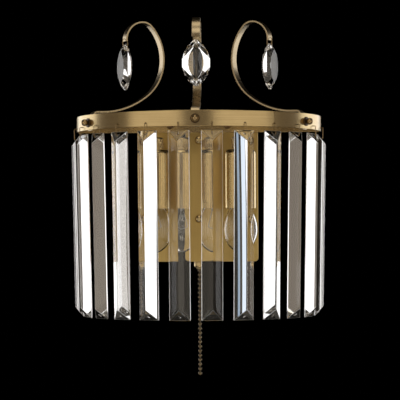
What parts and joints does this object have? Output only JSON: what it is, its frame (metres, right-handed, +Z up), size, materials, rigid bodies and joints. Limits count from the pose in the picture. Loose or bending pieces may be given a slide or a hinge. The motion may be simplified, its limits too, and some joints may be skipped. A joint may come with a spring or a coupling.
{
  "type": "crystal wall sconce",
  "caption": "Wall sconce: a flat strip half ring on a wall pan, hung with long glass prism bars round two lamps that point down, with scroll straps, faceted drops and a pull chain.",
  "frame": {"origin": "centre of the wall crossbar's back face, on the wall, half way between the two studs that hold the pan", "axes": "+Z up, -Y out of the wall towards the viewer, +X to the viewer's right"},
  "size_m": [0.2826, 0.1665, 0.3932],
  "materials": {
    "antique_brass": "antique brass, brushed and lacquered",
    "dark_bronze": "dark bronze, polished",
    "zinc_steel": "zinc plated",
    "crystal": "clear cut crystal",
    "bulb_clear": "clear blown glass",
    "hook_wire": "brass wire",
    "nickel_cap": "nickel plated",
    "filament": "drawn wire and glass stem",
    "porcelain": "glazed porcelain",
    "black_moulding": "moulded",
    "lead_insulation": "smooth sleeve"
  },
  "bodies": {
    "root": {"wall_crossbar": "zinc_steel", "crossbar_studs": "zinc_steel", "stud_lock_nuts": "zinc_steel", "backplate": "antique_brass", "ball_cap_nuts": "antique_brass", "back_bar": "antique_brass", "ring_band": "antique_brass", "frame_screws": "dark_bronze", "frame_nuts": "zinc_steel", "scroll_strap_left": "antique_brass", "scroll_strap_centre": "antique_brass", "scroll_strap_right": "antique_brass", "scroll_ball_screws": "dark_bronze", "scroll_nuts": "zinc_steel", "lamp_arms": "antique_brass", "arm_lock_nuts": "zinc_steel", "socket_collars": "antique_brass", "candle_tube_left": "antique_brass", "candle_tube_right": "antique_brass", "lamp_holders": "porcelain", "switch_body": "black_moulding", "switch_bell": "antique_brass", "lamp_leads": "lead_insulation"},
    "hanging_bar_01": {"prism_bar_01": "crystal", "hook_link_01": "hook_wire"},
    "hanging_bar_02": {"prism_bar_02": "crystal", "hook_link_02": "hook_wire"},
    "hanging_bar_03": {"prism_bar_03": "crystal", "hook_link_03": "hook_wire"},
    "hanging_bar_04": {"prism_bar_04": "crystal", "hook_link_04": "hook_wire"},
    "hanging_bar_05": {"prism_bar_05": "crystal", "hook_link_05": "hook_wire"},
    "hanging_bar_06": {"prism_bar_06": "crystal", "hook_link_06": "hook_wire"},
    "hanging_bar_07": {"prism_bar_07": "crystal", "hook_link_07": "hook_wire"},
    "hanging_bar_08": {"prism_bar_08": "crystal", "hook_link_08": "hook_wire"},
    "hanging_bar_09": {"prism_bar_09": "crystal", "hook_link_09": "hook_wire"},
    "hanging_bar_10": {"prism_bar_10": "crystal", "hook_link_10": "hook_wire"},
    "hanging_bar_11": {"prism_bar_11": "crystal", "hook_link_11": "hook_wire"},
    "hanging_bar_12": {"prism_bar_12": "crystal", "hook_link_12": "hook_wire"},
    "hanging_drop_left": {"crystal_drop_left": "crystal", "drop_link_left": "hook_wire"},
    "hanging_drop_centre": {"crystal_drop_centre": "crystal", "drop_link_centre": "hook_wire"},
    "hanging_drop_right": {"crystal_drop_right": "crystal", "drop_link_right": "hook_wire"},
    "bulb_left": {"bulb_cap_left": "nickel_cap", "bulb_glass_left": "bulb_clear", "bulb_filament_left": "filament"},
    "bulb_right": {"bulb_cap_right": "nickel_cap", "bulb_glass_right": "bulb_clear", "bulb_filament_right": "filament"},
    "chain": {"pull_chain": "antique_brass"}
  },
  "joints": [
    {"name": "bar_01_swing", "type": "hinge", "parent": "root", "child": "hanging_bar_01", "pos_m": [-0.13454, -0.03971, 0.0564], "axis": [-0.1305, 0.9914, 0], "range_deg": [-8, 25]},
    {"name": "bar_02_swing", "type": "hinge", "parent": "root", "child": "hanging_bar_02", "pos_m": [-0.12537, -0.07393, 0.0564], "axis": [-0.3827, 0.9239, 0], "range_deg": [-8, 25]},
    {"name": "bar_03_swing", "type": "hinge", "parent": "root", "child": "hanging_bar_03", "pos_m": [-0.10766, -0.10461, 0.0564], "axis": [-0.6088, 0.7934, 0], "range_deg": [-8, 25]},
    {"name": "bar_04_swing", "type": "hinge", "parent": "root", "child": "hanging_bar_04", "pos_m": [-0.08261, -0.12966, 0.0564], "axis": [-0.7934, 0.6088, 0], "range_deg": [-8, 25]},
    {"name": "bar_05_swing", "type": "hinge", "parent": "root", "child": "hanging_bar_05", "pos_m": [-0.05193, -0.14737, 0.0564], "axis": [-0.9239, 0.3827, 0], "range_deg": [-8, 25]},
    {"name": "bar_06_swing", "type": "hinge", "parent": "root", "child": "hanging_bar_06", "pos_m": [-0.01771, -0.15654, 0.0564], "axis": [-0.9914, 0.1305, 0], "range_deg": [-8, 25]},
    {"name": "bar_07_swing", "type": "hinge", "parent": "root", "child": "hanging_bar_07", "pos_m": [0.01771, -0.15654, 0.0564], "axis": [-0.9914, -0.1305, 0], "range_deg": [-8, 25]},
    {"name": "bar_08_swing", "type": "hinge", "parent": "root", "child": "hanging_bar_08", "pos_m": [0.05193, -0.14737, 0.0564], "axis": [-0.9239, -0.3827, 0], "range_deg": [-8, 25]},
    {"name": "bar_09_swing", "type": "hinge", "parent": "root", "child": "hanging_bar_09", "pos_m": [0.08261, -0.12966, 0.0564], "axis": [-0.7934, -0.6088, 0], "range_deg": [-8, 25]},
    {"name": "bar_10_swing", "type": "hinge", "parent": "root", "child": "hanging_bar_10", "pos_m": [0.10766, -0.10461, 0.0564], "axis": [-0.6088, -0.7934, 0], "range_deg": [-8, 25]},
    {"name": "bar_11_swing", "type": "hinge", "parent": "root", "child": "hanging_bar_11", "pos_m": [0.12537, -0.07393, 0.0564], "axis": [-0.3827, -0.9239, 0], "range_deg": [-8, 25]},
    {"name": "bar_12_swing", "type": "hinge", "parent": "root", "child": "hanging_bar_12", "pos_m": [0.13454, -0.03971, 0.0564], "axis": [-0.1305, -0.9914, 0], "range_deg": [-8, 25]},
    {"name": "drop_left_swing", "type": "hinge", "parent": "root", "child": "hanging_drop_left", "pos_m": [-0.07914, -0.06769, 0.15369], "axis": [-0.5, 0.866, 0], "range_deg": [-20, 25]},
    {"name": "drop_centre_swing", "type": "hinge", "parent": "root", "child": "hanging_drop_centre", "pos_m": [0, -0.11338, 0.15369], "axis": [-1, 0, 0], "range_deg": [-20, 25]},
    {"name": "drop_right_swing", "type": "hinge", "parent": "root", "child": "hanging_drop_right", "pos_m": [0.07914, -0.06769, 0.15369], "axis": [-0.5, -0.866, 0], "range_deg": [-20, 25]},
    {"name": "bulb_left_unscrew", "type": "hinge", "parent": "root", "child": "bulb_left", "pos_m": [-0.046, -0.078, 0], "axis": [0, 0, -1], "range_deg": [0, 900]},
    {"name": "bulb_right_unscrew", "type": "hinge", "parent": "root", "child": "bulb_right", "pos_m": [0.046, -0.078, 0], "axis": [0, 0, -1], "range_deg": [0, 900]},
    {"name": "chain_pull", "type": "slide", "parent": "root", "child": "chain", "axis": [0, 0, -1], "range_m": [0, 0.008], "stiffness_N_per_m": 250, "springref_m": -0.004}
  ]
}
